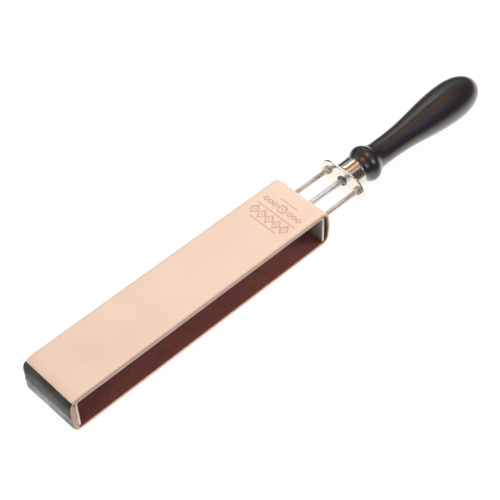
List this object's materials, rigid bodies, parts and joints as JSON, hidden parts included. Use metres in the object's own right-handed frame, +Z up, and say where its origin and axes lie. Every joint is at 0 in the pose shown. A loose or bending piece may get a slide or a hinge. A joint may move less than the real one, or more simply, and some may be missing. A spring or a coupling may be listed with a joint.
{
  "type": "leather paddle strop with screw tensioner",
  "caption": "Paddle strop: a loop of leather strap on a bent metal bracket, tightened by a screw when its turned wooden handle is rotated.",
  "frame": {"origin": "bottom centre of the whole strop, on the surface it lies on", "axes": "+X from the closed far end of the strap to the tip of the handle, +Y across the strap, +Z up through the stropping face"},
  "size_m": [0.473, 0.055, 0.0355],
  "materials": {
    "strap_leather": "vegetable-tanned grain outside, dark maroon flesh side inside, black far end and underside",
    "bracket_aluminium": "plain rolled strip, satin",
    "nickel": "polished nickel plate",
    "zinc_steel": "bright bluish zinc plate",
    "brass_nut": "turned",
    "black_steel": "black oxide spring steel",
    "black_wood": "black lacquer, satin gloss"
  },
  "bodies": {
    "frame": {"frame_bracket": "bracket_aluminium", "strap": "strap_leather", "yoke_plate": "nickel", "guide_rod_left": "nickel", "guide_rod_right": "nickel", "yoke_nut_left": "nickel", "yoke_nut_right": "nickel"},
    "tension_bar": {"tension_bar": "zinc_steel", "bar_nut": "brass_nut", "strap_bend": "strap_leather"},
    "handle": {"handle": "black_wood", "ferrule": "nickel", "spindle": "zinc_steel", "retaining_ring": "black_steel", "spindle_washer": "zinc_steel", "spindle_nut": "zinc_steel"}
  },
  "joints": [
    {"name": "handle_turn", "type": "hinge", "parent": "frame", "child": "handle", "pos_m": [0.071, 0, 0.01775], "axis": [-1, 0, 0], "range_deg": [0, 1440]},
    {"name": "tension_slide", "type": "slide", "parent": "frame", "child": "tension_bar", "axis": [1, 0, 0], "range_m": [0, 0.00321]}
  ],
  "couplings": [
    {"joint": "tension_slide", "follows": "handle_turn", "m_per_rad": 0.00012732}
  ]
}
